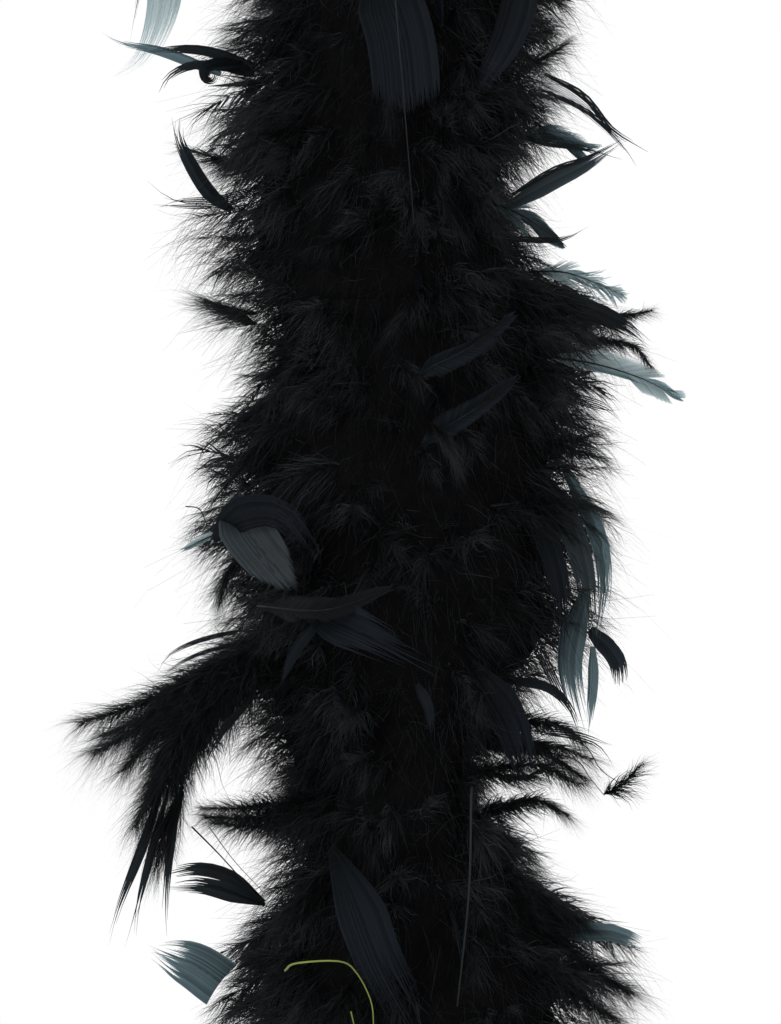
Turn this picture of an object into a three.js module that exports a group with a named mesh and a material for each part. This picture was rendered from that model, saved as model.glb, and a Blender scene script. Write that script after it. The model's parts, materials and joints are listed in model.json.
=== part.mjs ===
// Feather boa: one strand of feathers on a twisted cord, hanging straight down by its end loop.
// Millimetres, +Z up. The origin is where a hook carries the boa, inside the top of the upper loop,
// and the strand hangs along -Z. The strand is cut into equal sections that hinge on one another,
// turn and turn about, about Y and about X, because a rigid model can't bend all along its length.

import * as THREE from 'three';

// Driving dimensions
const FEATHERED_LENGTH = 1800;      // cord that carries feathers
const SECTION_COUNT = 12;
const RUFF_RADIUS = 67;             // the dense body is about 135 mm across
const BEND_LIMIT_DEG = 35;          // each hinge bends this far both ways
const CORE_RADIUS = 2.5;            // twisted two-ply core cord
const TOUCH_GAP = 0.3;              // between pieces that touch

// Ruff: a soft mass of down and vanes, drawn as blades that wind round the core
const BLADE_COUNT = 6;
const VALLEY_RADIUS = 13;
const TWIST_DEG_PER_MM = 0.6;
const RUFF_END_RADIUS = 8;
const RUFF_RINGS = 5;               // rings between the two tapered ends

// Quills bound to the core with thread
const BINDING_RADIUS = 5;
const BINDING_RIBS = 5;
const BINDING_GROOVE = 0.6;
const ROUND_SIDES = 10;

// Ends: a thread loop, a stopper knot and a whipping at each end
const LOOP_RADIUS = 15;
const LOOP_CORD_RADIUS = 1.5;
const LOOP_STRETCH = 1.4;           // the loop hangs longer than it is wide
const NECK = 5;                     // bare cord between the loop and the knot
const KNOT_RADIUS = 8;
const KNOT_LENGTH = 10;
const KNOT_RIBS = 3;
const WHIPPING_LENGTH = 12;
const WHIPPING_RIBS = 6;

// Vane feathers that stand out of the ruff
const VANE_THICKNESS = 1.2;
const QUILL_WIDTH = 2.4;
const VANE_STEPS = 6;

// Worked out from the driving dimensions
const SECTION_LENGTH = FEATHERED_LENGTH / SECTION_COUNT;
const LOOP_INSIDE = (LOOP_RADIUS - LOOP_CORD_RADIUS) * LOOP_STRETCH;
const LOOP_OUTSIDE = (LOOP_RADIUS + LOOP_CORD_RADIUS) * LOOP_STRETCH;
const STRAND_TOP = -(LOOP_INSIDE + LOOP_OUTSIDE + TOUCH_GAP / 2);
const END_FITTING = NECK + KNOT_LENGTH + WHIPPING_LENGTH + 2 * TOUCH_GAP;
const FEATHERS_TOP = STRAND_TOP - END_FITTING;
const TAPER = Math.tan(THREE.MathUtils.degToRad(BEND_LIMIT_DEG / 2 + 1.5));

const COLOURS = {
  cord: { color: 0x15161a, roughness: 0.85 },
  thread: { color: 0x1b1c20, roughness: 0.7 },
  down: { color: 0x0d0f11, roughness: 0.95 },
  vane: { color: 0x1e262c, roughness: 0.55 },
};

const boa = new THREE.Group();

function addPiece(name, geometry, look) {
  const material = new THREE.MeshStandardMaterial({ ...COLOURS[look], metalness: 0 });
  const mesh = new THREE.Mesh(geometry, material);
  mesh.name = name;
  boa.add(mesh);
  return mesh;
}

function numbered(name, index) {
  return `${name}_${String(index + 1).padStart(2, '0')}`;
}

// Height of the hinge above section `index`; hinge SECTION_COUNT is the foot of the last section.
function hingeHeight(index) {
  if (index === 0) return STRAND_TOP;
  return FEATHERS_TOP - index * SECTION_LENGTH;
}

// A closed skin through rings of points; every ring has the same number of points, and the rings
// run downwards, each going round anticlockwise as seen from above. ringsClose joins the last
// ring to the first, as a sleeve's bore needs; otherwise both ends are capped flat.
function loft(rings, ringsClose = false) {
  const sides = rings[0].length;
  const positions = rings.flat().flatMap((p) => [p.x, p.y, p.z]);
  const index = [];
  const joins = ringsClose ? rings.length : rings.length - 1;
  for (let ring = 0; ring < joins; ring++) {
    const upper = ring * sides;
    const lower = ((ring + 1) % rings.length) * sides;
    for (let side = 0; side < sides; side++) {
      const next = (side + 1) % sides;
      index.push(upper + side, lower + side, lower + next);
      index.push(upper + side, lower + next, upper + next);
    }
  }
  if (!ringsClose) {
    const last = (rings.length - 1) * sides;
    for (let side = 1; side < sides - 1; side++) {
      index.push(0, side, side + 1);
      index.push(last, last + side + 1, last + side);
    }
  }
  const geometry = new THREE.BufferGeometry();
  geometry.setAttribute('position', new THREE.Float32BufferAttribute(positions, 3));
  geometry.setIndex(index);
  geometry.computeVertexNormals();
  return geometry;
}

function ringPoint(radius, angle, z) {
  return new THREE.Vector3(radius * Math.cos(angle), radius * Math.sin(angle), z);
}

function roundRing(radius, z, sides = ROUND_SIDES) {
  const step = (2 * Math.PI) / sides;
  return Array.from({ length: sides }, (_, side) => ringPoint(radius, side * step, z));
}

function twistAt(z) {
  return THREE.MathUtils.degToRad(TWIST_DEG_PER_MM * z);
}

function starRing(tipRadius, valleyRadius, z) {
  const points = [];
  for (let side = 0; side < 2 * BLADE_COUNT; side++) {
    const radius = side % 2 === 0 ? tipRadius : valleyRadius;
    points.push(ringPoint(radius, twistAt(z) + (side * Math.PI) / BLADE_COUNT, z));
  }
  return points;
}

// The core cord of one section, pointed at both hinges so that it can bend there.
function coreCord(topHinge, bottomHinge) {
  const point = CORE_RADIUS * TAPER;
  const tip = TOUCH_GAP / 2;
  const tipRadius = 0.2;
  return loft([
    roundRing(tipRadius, topHinge - tip, 8),
    roundRing(CORE_RADIUS, topHinge - tip - point, 8),
    roundRing(CORE_RADIUS, bottomHinge + tip + point, 8),
    roundRing(tipRadius, bottomHinge + tip, 8),
  ]);
}

// Thread wound in ribs round the core, from `top` down over `length`.
function woundSleeve(outerRadius, top, length, ribs, groove) {
  const bore = CORE_RADIUS + TOUCH_GAP;
  const rib = length / ribs;
  const rings = [];
  for (let turn = 0; turn < ribs; turn++) {
    rings.push(roundRing(outerRadius - groove, top - turn * rib));
    rings.push(roundRing(outerRadius, top - (turn + 0.5) * rib));
  }
  rings.push(roundRing(outerRadius - groove, top - length));
  rings.push(roundRing(bore, top - length));
  rings.push(roundRing(bore, top));
  return loft(rings, true);
}

// Down and vanes round the core: blades that wind as they go, tapered towards both hinges so that
// neighbours stay clear when the strand bends.
function featherRuff(topHinge, bottomHinge) {
  const endInset = 1 + RUFF_END_RADIUS * TAPER;
  const fullInset = 1 + RUFF_RADIUS * TAPER;
  const flatsShare = Math.cos(Math.PI / (2 * BLADE_COUNT));  // flats lie nearer than corners
  const bore = (BINDING_RADIUS + TOUCH_GAP) / flatsShare;
  const endValley = RUFF_END_RADIUS - 1;
  const heights = [];
  for (let ring = 0; ring < RUFF_RINGS; ring++) {
    const share = ring / (RUFF_RINGS - 1);
    heights.push(THREE.MathUtils.lerp(topHinge - fullInset, bottomHinge + fullInset, share));
  }
  const top = topHinge - endInset;
  const bottom = bottomHinge + endInset;
  const outside = [
    starRing(RUFF_END_RADIUS, endValley, top),
    ...heights.map((z) => starRing(RUFF_RADIUS, VALLEY_RADIUS, z)),
    starRing(RUFF_END_RADIUS, endValley, bottom),
  ];
  const boreRings = [bottom, ...heights.toReversed(), top].map((z) => starRing(bore, bore, z));
  return loft([...outside, ...boreRings], true);
}

function cordLoop(centreZ) {
  const geometry = new THREE.TorusGeometry(LOOP_RADIUS, LOOP_CORD_RADIUS, 8, 20);
  geometry.rotateX(Math.PI / 2);
  geometry.scale(1, 1, LOOP_STRETCH);
  geometry.translate(0, 0, centreZ);
  return geometry;
}

// The middle of the gap between two ruff blades that lies nearest to a wanted direction.
function valleyAngle(wantedDeg, z) {
  const pitch = (2 * Math.PI) / BLADE_COUNT;
  const first = twistAt(z) + pitch / 2;
  const wanted = THREE.MathUtils.degToRad(wantedDeg);
  return first + pitch * Math.round((wanted - first) / pitch);
}

// One vane feather, flat in an upright plane: its quill starts between two ruff blades and it
// leans out to `reach`, rising or falling by `rise`, with the given greatest width.
function vaneFeather({ towards, z, reach, rise, width }) {
  const rings = [];
  const angle = valleyAngle(towards, z);
  const across = new THREE.Vector3(-Math.sin(angle), Math.cos(angle), 0);
  const start = VALLEY_RADIUS + 2;
  for (let step = 0; step <= VANE_STEPS; step++) {
    const share = step / VANE_STEPS;
    const radius = THREE.MathUtils.lerp(start, reach, share);
    const height = z + rise * (share * (2 - share) - share * share * 0.4);
    const half = QUILL_WIDTH / 2 + (width / 2 - QUILL_WIDTH / 2) * Math.sin(Math.PI * share) ** 0.8;
    const middle = ringPoint(radius, angle, height);
    const corner = (side, up) =>
      middle.clone().addScaledVector(across, side * VANE_THICKNESS / 2).setZ(height + up * half);
    rings.push([corner(-1, -1), corner(1, -1), corner(1, 1), corner(-1, 1)]);
  }
  return loft(rings.reverse());
}

// Where the larger feathers stand out: section, height in it as a share from its top, direction in
// degrees (0 is +X, 90 is +Y), reach from the axis, rise of the tip, and greatest width.
const VANE_FEATHERS = [
  { section: 0, share: 0.45, towards: 200, reach: 92, rise: -10, width: 24 },
  { section: 1, share: 0.55, towards: 20, reach: 95, rise: -8, width: 26 },
  { section: 2, share: 0.5, towards: 120, reach: 98, rise: -12, width: 24 },
  { section: 3, share: 0.5, towards: 250, reach: 94, rise: -6, width: 26 },
  { section: 4, share: 0.55, towards: 180, reach: 108, rise: 8, width: 22 },
  { section: 5, share: 0.4, towards: 0, reach: 92, rise: 8, width: 20 },
  { section: 5, share: 0.55, towards: 180, reach: 100, rise: -8, width: 18 },
  { section: 5, share: 0.6, towards: 0, reach: 104, rise: -6, width: 28 },
  { section: 5, share: 0.5, towards: 270, reach: 86, rise: 10, width: 20 },
  { section: 6, share: 0.45, towards: 270, reach: 88, rise: -8, width: 28 },
  { section: 6, share: 0.55, towards: 0, reach: 96, rise: -14, width: 20 },
  { section: 6, share: 0.5, towards: 90, reach: 96, rise: -10, width: 26 },
  { section: 7, share: 0.5, towards: 0, reach: 106, rise: -8, width: 24 },
  { section: 7, share: 0.55, towards: 180, reach: 100, rise: -6, width: 18 },
  { section: 8, share: 0.5, towards: 90, reach: 96, rise: -10, width: 26 },
  { section: 9, share: 0.5, towards: 330, reach: 94, rise: -8, width: 24 },
  { section: 10, share: 0.5, towards: 160, reach: 98, rise: -10, width: 26 },
];
const LONG_PLUME = { section: 6, share: 0.5, towards: 180, reach: 120, rise: -10, width: 30 };

function placedVane({ section, share, ...vane }) {
  const top = sectionFeathersTop(section);
  return vaneFeather({ ...vane, z: top - share * (top - hingeHeight(section + 1)) });
}

// The first section carries the knot and whipping above its feathers.
function sectionFeathersTop(section) {
  return section === 0 ? FEATHERS_TOP : hingeHeight(section);
}

function addEndFittings() {
  const knotTop = STRAND_TOP - NECK;
  const whippingTop = knotTop - KNOT_LENGTH - TOUCH_GAP;
  addPiece('top_loop', cordLoop(-LOOP_INSIDE), 'thread');
  addPiece('top_knot', woundSleeve(KNOT_RADIUS, knotTop, KNOT_LENGTH, KNOT_RIBS, 2), 'cord');
  addPiece('top_whipping',
    woundSleeve(BINDING_RADIUS, whippingTop, WHIPPING_LENGTH, WHIPPING_RIBS, BINDING_GROOVE),
    'thread');

  const feathersFoot = hingeHeight(SECTION_COUNT);
  const whippingFoot = feathersFoot - TOUCH_GAP - WHIPPING_LENGTH;
  const knotFootTop = whippingFoot - TOUCH_GAP;
  const cordFoot = feathersFoot - END_FITTING;
  addPiece('bottom_whipping',
    woundSleeve(BINDING_RADIUS, feathersFoot - TOUCH_GAP, WHIPPING_LENGTH, WHIPPING_RIBS,
      BINDING_GROOVE),
    'thread');
  addPiece('bottom_knot', woundSleeve(KNOT_RADIUS, knotFootTop, KNOT_LENGTH, KNOT_RIBS, 2), 'cord');
  addPiece('bottom_loop', cordLoop(cordFoot - TOUCH_GAP / 2 - LOOP_OUTSIDE), 'thread');
}

function addSection(section) {
  const isLast = section === SECTION_COUNT - 1;
  const cordTop = hingeHeight(section);
  const cordBottom = isLast ? hingeHeight(SECTION_COUNT) - END_FITTING : hingeHeight(section + 1);
  const featherTop = sectionFeathersTop(section);
  const featherBottom = hingeHeight(section + 1);
  const inset = 1 + RUFF_END_RADIUS * TAPER;
  addPiece(numbered('core_cord', section), coreCord(cordTop, cordBottom), 'cord');
  addPiece(numbered('quill_binding', section),
    woundSleeve(BINDING_RADIUS, featherTop - inset, featherTop - featherBottom - 2 * inset,
      BINDING_RIBS, BINDING_GROOVE),
    'thread');
  addPiece(numbered('feather_ruff', section), featherRuff(featherTop, featherBottom), 'down');
}

addEndFittings();
for (let section = 0; section < SECTION_COUNT; section++) {
  addSection(section);
}
VANE_FEATHERS.forEach((vane, index) => {
  addPiece(numbered('vane_feather', index), placedVane(vane), 'vane');
});
addPiece('long_plume', placedVane(LONG_PLUME), 'down');

export default boa;
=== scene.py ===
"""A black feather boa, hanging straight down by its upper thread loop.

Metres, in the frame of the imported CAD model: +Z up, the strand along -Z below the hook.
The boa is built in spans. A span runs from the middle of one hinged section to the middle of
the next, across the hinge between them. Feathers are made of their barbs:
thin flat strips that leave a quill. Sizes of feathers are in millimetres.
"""

import json
import math

import bmesh
import bpy
import numpy as np
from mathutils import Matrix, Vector


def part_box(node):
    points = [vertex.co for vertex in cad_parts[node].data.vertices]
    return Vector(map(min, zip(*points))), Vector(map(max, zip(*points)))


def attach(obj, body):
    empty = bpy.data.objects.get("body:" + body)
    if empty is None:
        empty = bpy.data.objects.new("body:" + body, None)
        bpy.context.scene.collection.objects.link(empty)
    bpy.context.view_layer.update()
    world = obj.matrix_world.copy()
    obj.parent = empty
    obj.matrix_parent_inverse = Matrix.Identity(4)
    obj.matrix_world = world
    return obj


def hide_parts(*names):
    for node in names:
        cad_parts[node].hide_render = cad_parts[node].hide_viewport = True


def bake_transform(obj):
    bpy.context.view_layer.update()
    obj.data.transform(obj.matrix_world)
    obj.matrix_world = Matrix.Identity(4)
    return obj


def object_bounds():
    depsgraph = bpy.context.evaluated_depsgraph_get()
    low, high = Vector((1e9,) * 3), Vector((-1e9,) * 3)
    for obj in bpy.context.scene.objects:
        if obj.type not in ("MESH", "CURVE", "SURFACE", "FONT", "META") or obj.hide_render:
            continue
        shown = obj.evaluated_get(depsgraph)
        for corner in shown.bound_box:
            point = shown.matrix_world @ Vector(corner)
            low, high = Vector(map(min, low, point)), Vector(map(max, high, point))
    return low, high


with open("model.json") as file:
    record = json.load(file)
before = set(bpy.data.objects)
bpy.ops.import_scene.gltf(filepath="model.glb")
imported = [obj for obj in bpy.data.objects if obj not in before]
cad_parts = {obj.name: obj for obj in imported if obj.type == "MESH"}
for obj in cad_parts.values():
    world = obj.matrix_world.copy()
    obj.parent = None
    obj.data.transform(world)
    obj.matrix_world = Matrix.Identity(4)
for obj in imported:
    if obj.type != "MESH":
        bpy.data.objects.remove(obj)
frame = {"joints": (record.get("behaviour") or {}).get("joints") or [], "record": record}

MM = 0.001
CAD_LOW, CAD_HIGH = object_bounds()
SEED = 11

# ---------------------------------------------------------------- places taken from the frame


def box_radius(node):
    low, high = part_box(node)
    return (high.x - low.x) / 2


def height_range(node):
    low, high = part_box(node)
    return high.z, low.z


BENDS = [joint for joint in frame["joints"] if joint["name"].startswith("bend_")]
SECTIONS = len(BENDS)
HINGES = [joint["pos_m"][2] for joint in BENDS]
FEATHERS_TOP = height_range("feather_ruff_01")[0]
FEATHERS_FOOT = height_range(f"feather_ruff_{SECTIONS:02d}")[1]
CORD_TOP = height_range("core_cord_01")[0]
CORD_FOOT = height_range(f"core_cord_{SECTIONS:02d}")[1]
MIDDLE = HINGES[SECTIONS // 2]      # the stretch that the camera sees is centred here
CORD_RADIUS = box_radius("core_cord_02")
BINDING_RADIUS = box_radius("quill_binding_02")
LOOP_ROOM = 1.2 * MM        # the cord stops this short of both thread loops, so that they can swing

# ---------------------------------------------------------------- driving sizes

SEEN_HEIGHT = 0.3686        # height of the stretch that the camera sees
CAMERA_DISTANCE = 2.2
CAMERA_SHIFT_X = -0.0052    # the boa hangs a little right of the picture's middle
SEEN_REACH = 190 * MM       # feathers this near the middle are at their finest
FLOOR_RADIUS = 6
FLOOR_GAP = 0.04            # the boa hangs this far above the floor

# Outline of the body: height above the middle, reach to the left, reach to the right, mm
OUTLINE = np.array([
    (-185, 74, 90), (-155, 66, 82), (-125, 50, 50), (-105, 52, 26), (-85, 58, 24), (-68, 66, 48),
    (-40, 72, 72), (-15, 73, 78), (5, 76, 76), (26, 76, 72), (42, 62, 76), (55, 56, 84),
    (75, 72, 74), (95, 82, 48), (115, 80, 40), (135, 74, 48), (150, 70, 60), (185, 66, 56),
], float)
DEPTH_REACH = 68            # the body's reach to the front and back, mm
UNSEEN_REACH = 78           # the widest that the body gets outside the seen stretch, mm
END_TAPER = 60 * MM         # the body narrows over this at both ends of the boa
HEART_SHARE = 0.66          # the dense heart's share of the outline
UNSEEN_HEART_SHARE = 0.58   # less where the feathers stand further apart
HEART_REACH = 51 * MM       # the heart gets no further from the cord than this

PLUMES_PER_MM = 2.5
UNSEEN_SHARE = 0.46         # of those plumes, outside the seen stretch
EDGE_CROWDING = 0.30        # how much closer the seen plumes stand at the two edges of the picture
LOOSE_PER_MM = 70           # single barbs in the seen stretch
UNSEEN_LOOSE_PER_MM = 12
LOOSE_CROWDING = 0.42       # how much closer they stand at the two edges of the picture
DOWN_REACH = 98 * MM        # no soft barb gets further from the cord than this
VANES_PER_MM = 0.24
VANE_REACH = 84 * MM        # no scattered vane feather ends further from the cord than this
STRAP_SHARE = 0.45          # of the scattered vane feathers
DOWN_POINTS = 5             # points along a soft barb
BARB_POINTS = 5             # points along a barb of a vane feather
STRAP_POINTS = 10           # points along a barb of a strap


class Span:
    """A stretch of the strand, with the body at its top and the one at its foot."""

    def __init__(self, index, top, foot, body, lower_body=None):
        self.index = index
        self.top = top
        self.foot = foot
        self.body = body
        self.lower_body = lower_body
        self.rng = np.random.default_rng([SEED, index])
        self.seen = self.top > MIDDLE - SEEN_REACH and self.foot < MIDDLE + SEEN_REACH
        self.heart_share = HEART_SHARE if self.seen else UNSEEN_HEART_SHARE

    def name(self, kind):
        return f"{kind}_{self.index + 1:02d}"

    def attach(self, piece, slot):
        if self.lower_body is None:
            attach(piece, self.body)
        else:
            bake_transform(piece)
        return piece

    def stands_for(self, piece, node):
        """The piece stands for the sections' nodes that it runs along."""
        for section in (self.index, self.index + 1):
            if 1 <= section <= SECTIONS:
                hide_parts(f"{node}_{section:02d}")


def make_spans():
    tops = [FEATHERS_TOP] + HINGES[1:] + [FEATHERS_FOOT]
    middles = [(a + b) / 2 for a, b in zip(tops, tops[1:])]
    spans = [Span(0, tops[0], middles[0], "section_01")]
    for i in range(1, SECTIONS):
        spans.append(Span(i, middles[i - 1], middles[i], f"section_{i:02d}", f"section_{i + 1:02d}"))
    spans.append(Span(SECTIONS, middles[-1], tops[-1], f"section_{SECTIONS:02d}"))
    return spans


def span_at(spans, z):
    for span in spans:
        if z > span.foot:
            return span
    return spans[-1]


def outline_reach(z, angle):
    """How far the dense body reaches from the cord, in metres, at a height and a direction."""
    height = (z - MIDDLE) / MM
    half = OUTLINE[-1, 0]
    beyond = np.sign(height) * np.maximum(np.abs(height) - half, 0)
    folded = half - np.abs((height + half) % (4 * half) - 2 * half)
    turned = angle + np.radians(0.45) * beyond
    left = np.interp(folded, OUTLINE[:, 0], OUTLINE[:, 1])
    right = np.interp(folded, OUTLINE[:, 0], OUTLINE[:, 2])
    lumps = 1 + 0.04 * np.sin(3 * turned + height * 0.11) + 0.04 * np.sin(2 * turned - height * 0.17)
    side = (left + right) / 2 + (right - left) / 2 * np.cos(turned)
    reach = (side + (DEPTH_REACH - side) * np.sin(turned) ** 4) * lumps
    calmer = np.minimum((reach + DEPTH_REACH) / 2, UNSEEN_REACH)
    reach = np.where(np.abs(height) > half, calmer, reach)
    from_end = np.clip(np.minimum(FEATHERS_TOP - z, z - FEATHERS_FOOT) / END_TAPER, 0, 1)
    return reach * (0.25 + 0.75 * np.sqrt(from_end)) * MM


# ---------------------------------------------------------------- small vector helpers

def unit(v):
    v = np.asarray(v, float)
    return v / np.maximum(np.linalg.norm(v, axis=-1, keepdims=True), 1e-12)


def around(radius, angle, z):
    return np.stack(np.broadcast_arrays(radius * np.cos(angle), radius * np.sin(angle), z), axis=-1)


def bezier(a, b, c, steps):
    """Points along a curve from a to c, drawn towards b."""
    t = np.linspace(0, 1, steps)[:, None]
    return (1 - t) ** 2 * a + 2 * t * (1 - t) * b + t ** 2 * c


def smooth_path(points, steps=24):
    """Points along a smooth curve through a few given ones."""
    p = np.asarray(points, float)
    p = np.vstack([2 * p[0] - p[1], p, 2 * p[-1] - p[-2]])
    spans = len(p) - 3
    at = np.linspace(0, spans, steps)
    i = np.minimum(at.astype(int), spans - 1)
    t = (at - i)[:, None]
    a, b, c, d = p[i], p[i + 1], p[i + 2], p[i + 3]
    return 0.5 * (2 * b + (c - a) * t + (2 * a - 5 * b + 4 * c - d) * t ** 2
                  + (3 * b - a - 3 * c + d) * t ** 3)


def along(path, shares):
    """Points and directions at shares of a path's length, and the length."""
    steps = np.linalg.norm(np.diff(path, axis=0), axis=1)
    length = np.concatenate([[0], np.cumsum(steps)])
    at = np.asarray(shares) * length[-1]
    points = np.stack([np.interp(at, length, path[:, k]) for k in range(3)], axis=-1)
    tangents = unit(np.gradient(path, axis=0))
    directions = np.stack([np.interp(at, length, tangents[:, k]) for k in range(3)], axis=-1)
    return points, unit(directions), length[-1]


def held_in(points, reach):
    """Points pulled in so that none is further than reach from the cord."""
    distance = np.linalg.norm(points[..., :2], axis=-1, keepdims=True)
    pull = np.minimum(1, reach / np.maximum(distance, reach * 0.01))
    return points * np.concatenate([pull, pull, np.ones_like(pull)], axis=-1)


# ---------------------------------------------------------------- meshes

def grid_faces(rows, columns, wraps):
    """Quads of a grid of points, and where each corner lies in a unit square. A grid that wraps
    joins its last column to its first, as a tube does."""
    across = columns if wraps else columns - 1
    row = np.arange(rows - 1)[:, None] + np.zeros(across, int)
    column = np.arange(across) + np.zeros((rows - 1, 1), int)
    after = (column + 1) % columns
    quads = np.stack([row * columns + column, row * columns + after,
                      (row + 1) * columns + after, (row + 1) * columns + column], axis=-1)
    corners = np.stack([
        np.stack([column, row], axis=-1), np.stack([column + 1, row], axis=-1),
        np.stack([column + 1, row + 1], axis=-1), np.stack([column, row + 1], axis=-1),
    ], axis=2)
    return quads.reshape(-1, 4), corners.reshape(-1, 4, 2) / (across, rows - 1)


class Strands:
    """Gathers flat strips and thin tubes, each with its material, and makes one mesh of them."""

    def __init__(self):
        self.parts = []

    def grids(self, points, material, shade=0.0, wraps=False):
        """points is (how many, rows, columns, 3)."""
        self.parts.append((points, material, np.broadcast_to(shade, len(points)), wraps))

    def strips(self, points, sides, widths, material, shade):
        offset = sides * (widths / 2)[..., None]
        self.grids(np.stack([points - offset, points + offset], axis=2), material, shade)

    def tube(self, path, radii, material, sides=5, shade=0.0):
        """A tube along a path, drawn to a point at both ends."""
        path = np.asarray(path, float)
        tangent = unit(np.gradient(path, axis=0))
        first = unit(np.cross(tangent, (0.31, 0.87, 0.39)))
        second = np.cross(tangent, first)
        turn = np.linspace(0, 2 * np.pi, sides, endpoint=False)[None, :, None]
        ring = first[:, None] * np.cos(turn) + second[:, None] * np.sin(turn)
        rings = path[:, None] + ring * np.broadcast_to(radii, len(path))[:, None, None]
        closing = 1e-6
        first_ring = path[:1, None] + ring[:1] * closing
        last_ring = path[-1:, None] + ring[-1:] * closing
        self.grids(np.concatenate([first_ring, rings, last_ring])[None], material, shade, wraps=True)

    def build(self, name):
        """The mesh object. Its OFBake layer gives every strip and tube its own cell."""
        cells = sum(len(points) for points, *_ in self.parts)
        columns = math.ceil(math.sqrt(cells))
        materials = list(dict.fromkeys(material for _, material, *_ in self.parts))
        vertices, quads, local, packed, shades, slots = [], [], [], [], [], []
        start = cell = 0
        for points, material, shade, wraps in self.parts:
            n, rows, across, _ = points.shape
            faces, corners = grid_faces(rows, across, wraps)
            first = start + np.arange(n) * rows * across
            quads.append((faces[None] + first[:, None, None]).reshape(-1, 4))
            index = cell + np.arange(n)
            place = np.stack([index % columns, index // columns], axis=-1)[:, None, None]
            packed.append(((place + 0.04 + 0.92 * corners[None]) / columns).reshape(-1, 2))
            local.append(np.broadcast_to(corners, (n, *corners.shape)).reshape(-1, 2))
            vertices.append(points.reshape(-1, 3))
            shades.append(np.repeat(shade, rows * across))
            slots.append(np.full(n * len(faces), materials.index(material)))
            start += n * rows * across
            cell += n
        return new_object(name, np.concatenate(vertices), np.concatenate(quads),
                          {"UVMap": np.concatenate(local), "OFBake": np.concatenate(packed)},
                          np.concatenate(shades), materials, np.concatenate(slots))


def new_object(name, vertices, quads, layouts, shade, materials, slots):
    mesh = bpy.data.meshes.new(name)
    mesh.vertices.add(len(vertices))
    mesh.vertices.foreach_set("co", vertices.astype(np.float32).ravel())
    mesh.loops.add(quads.size)
    mesh.loops.foreach_set("vertex_index", quads.astype(np.int32).ravel())
    mesh.polygons.add(len(quads))
    mesh.polygons.foreach_set("loop_start", np.arange(0, quads.size, 4, dtype=np.int32))
    mesh.polygons.foreach_set("loop_total", np.full(len(quads), 4, np.int32))
    mesh.polygons.foreach_set("use_smooth", np.ones(len(quads), bool))
    mesh.polygons.foreach_set("material_index", slots.astype(np.int32))
    mesh.update(calc_edges=True)
    for layer, uv in layouts.items():
        mesh.uv_layers.new(name=layer).data.foreach_set("uv", uv.astype(np.float32).ravel())
    attribute = mesh.attributes.new("shade", "FLOAT", "POINT")
    attribute.data.foreach_set("value", shade.astype(np.float32).ravel())
    for material in materials:
        mesh.materials.append(material)
    piece = bpy.data.objects.new(name, mesh)
    bpy.context.scene.collection.objects.link(piece)
    return piece


# ---------------------------------------------------------------- materials

def new_material(name):
    material = bpy.data.materials.new(name)
    material.use_nodes = True
    material.node_tree.nodes.clear()
    return material


def add_node(material, kind, inputs=None, **settings):
    """A shader node. Each input is set to a value, or linked to another node's output."""
    tree = material.node_tree
    node = tree.nodes.new("ShaderNode" + kind)
    for setting, value in settings.items():
        setattr(node, setting, value)
    for name, value in (inputs or {}).items():
        if isinstance(value, bpy.types.NodeSocket):
            tree.links.new(value, node.inputs[name])
        else:
            node.inputs[name].default_value = value
    return node


def feather_material(name, root, tip, clear, clear_colour, roughness, gloss, streaks, uneven,
                     clear_root=0.7):
    """Dyed feather: its colour runs from root to tip, barbs differ by uneven, and light from
    behind comes through, most of it at the tip. clear_root is the share of it at the root."""
    material = new_material(name)
    uv = add_node(material, "UVMap", uv_map="UVMap").outputs[0]
    from_root = add_node(material, "SeparateXYZ", {0: uv}).outputs["Y"]
    stretched = add_node(material, "Mapping", {0: uv, "Scale": (streaks, 2.0, 1.0)}).outputs[0]
    noise = add_node(material, "TexNoise", {"Vector": stretched, "Scale": 3.0, "Detail": 3.0})
    streaky = add_node(material, "MapRange", {0: noise.outputs[0], "To Min": 0.6, "To Max": 1.3})
    barb = add_node(material, "NewGeometry").outputs["Random Per Island"]
    shade = add_node(material, "Attribute", attribute_name="shade").outputs["Fac"]
    vary = add_node(material, "Math", {0: barb, 1: uneven, 2: 1 - uneven / 2}, operation="MULTIPLY_ADD")
    shaded = add_node(material, "Math", {0: vary.outputs[0], 1: shade}, operation="ADD")
    grain = add_node(material, "Math", {0: shaded.outputs[0], 1: streaky.outputs[0]},
                     operation="MULTIPLY").outputs[0]
    ramp = add_node(material, "Mix", {"A": (*root, 1), "B": (*tip, 1), "Factor": from_root},
                    data_type="RGBA")
    colour = add_node(material, "VectorMath", {0: ramp.outputs["Result"], "Scale": grain},
                      operation="SCALE")
    let_through = add_node(material, "VectorMath", {0: clear_colour, "Scale": grain},
                           operation="SCALE")
    surface = add_node(material, "BsdfPrincipled", {
        "Roughness": roughness, "Specular IOR Level": gloss, "Base Color": colour.outputs[0]})
    through = add_node(material, "BsdfTranslucent", {"Color": let_through.outputs[0]})
    clearing = add_node(material, "MapRange", {
        0: from_root, "To Min": clear * clear_root, "To Max": clear})
    mix = add_node(material, "MixShader", {
        0: clearing.outputs[0], 1: surface.outputs[0], 2: through.outputs[0]})
    add_node(material, "OutputMaterial", {0: mix.outputs[0]})
    return material


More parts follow.
